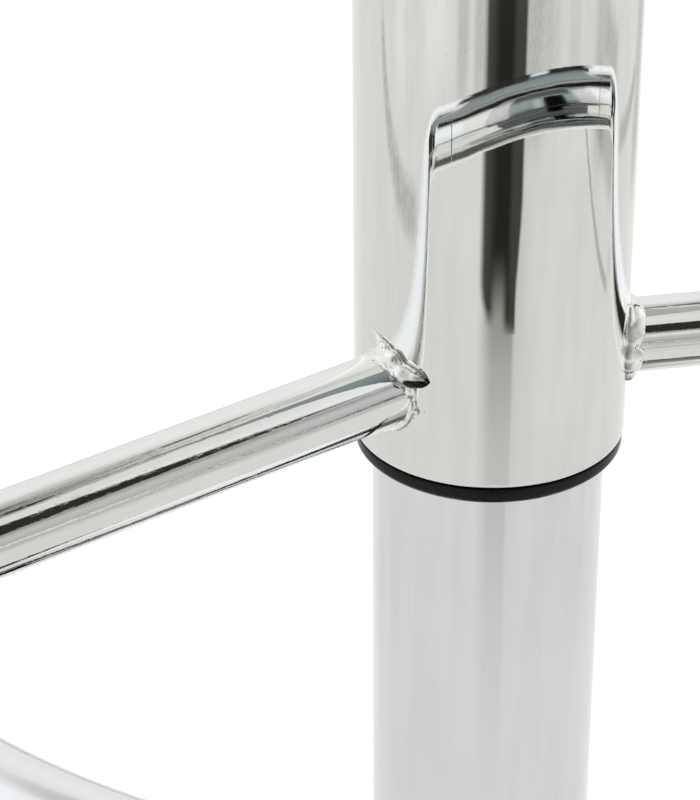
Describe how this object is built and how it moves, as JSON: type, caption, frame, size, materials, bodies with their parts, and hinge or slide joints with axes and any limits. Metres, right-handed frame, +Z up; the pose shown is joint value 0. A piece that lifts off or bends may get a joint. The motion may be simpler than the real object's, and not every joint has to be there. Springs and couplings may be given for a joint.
{
  "type": "bar stool",
  "caption": "Swivelling, height-adjustable bar stool: moulded plastic bucket seat on a chromed gas-lift column with a curved tube footrest, a black glide ring and a round base.",
  "frame": {"origin": "centre of the base on the floor, on the column's axis", "axes": "+Z up, the footrest's front towards -Y, the seat's back towards +Y, the lever towards -X, the sitter's right"},
  "size_m": [0.4281, 0.4403, 0.925],
  "materials": {
    "chrome": "polished chromium plate with faint smudges and fine scratches",
    "column_chrome": "polished chromium plate, lightly worn by the sliding sleeve",
    "footrest_chrome": "polished chromium plate with fine lengthwise scratches and specks",
    "weld_metal": "plated weld bead, lumpy, with brown specks",
    "black_gloss": "glossy black moulding",
    "black_grip": "fine-grained black moulding",
    "seat_plastic": "glossy white moulded shell",
    "floor_rubber": "matt black rubber",
    "painted_steel": "black powder coat",
    "ballast_paint": "black primer over rolled plate",
    "zinc_steel": "bright zinc plate",
    "ground_steel": "ground steel",
    "brass": "turned brass",
    "bush_plastic": "natural acetal"
  },
  "bodies": {
    "base": {"base_cover": "chrome", "floor_ring": "floor_rubber", "ballast_plate": "ballast_paint", "column_flange": "ballast_paint", "flange_bolts": "zinc_steel", "flange_washers": "zinc_steel", "flange_nuts": "zinc_steel", "lower_column": "column_chrome", "column_collar": "black_gloss", "guide_bush": "bush_plastic", "bearing_lower_race": "ground_steel"},
    "gas_rod": {"bearing_cage": "brass", "bearing_upper_race": "ground_steel", "rubber_buffer": "floor_rubber", "piston_rod": "ground_steel", "piston": "ground_steel", "rod_washer": "zinc_steel", "rod_clip": "zinc_steel"},
    "carriage": {"gas_cylinder": "painted_steel", "rod_guide": "bush_plastic", "sleeve": "chrome", "sleeve_cap": "chrome", "glide_ring": "black_gloss", "footrest_arm_left": "footrest_chrome", "footrest_arm_right": "footrest_chrome", "foot_bar": "footrest_chrome", "bar_spigots": "zinc_steel", "weld_left": "weld_metal", "weld_right": "weld_metal", "taper_socket": "painted_steel", "seat_pan": "painted_steel", "lever_bracket": "painted_steel", "lever_pin": "zinc_steel", "seat_bolts": "zinc_steel", "seat_washers": "zinc_steel", "thread_inserts": "brass", "seat_shell": "seat_plastic"},
    "lever": {"lever_rod": "chrome", "lever_grip": "black_grip"},
    "release_valve": {"valve_pin": "brass"}
  },
  "joints": [
    {"name": "swivel", "type": "hinge", "parent": "base", "child": "gas_rod", "pos_m": [0, 0, 0], "axis": [0, 0, 1], "continuous": true},
    {"name": "lift", "type": "slide", "parent": "gas_rod", "child": "carriage", "axis": [0, 0, 1], "range_m": [-0.148, 0.062]},
    {"name": "lever_pull", "type": "hinge", "parent": "carriage", "child": "lever", "pos_m": [-0.025, 0, 0.7272], "axis": [0, 1, 0], "range_deg": [0, 7], "stiffness_Nm_per_rad": 0.6, "springref_deg": -20.05},
    {"name": "valve_press", "type": "slide", "parent": "carriage", "child": "release_valve", "axis": [0, 0, -1], "range_m": [0, 0.0031]}
  ],
  "couplings": [
    {"joint": "valve_press", "follows": "lever_pull", "m_per_rad": 0.025}
  ]
}
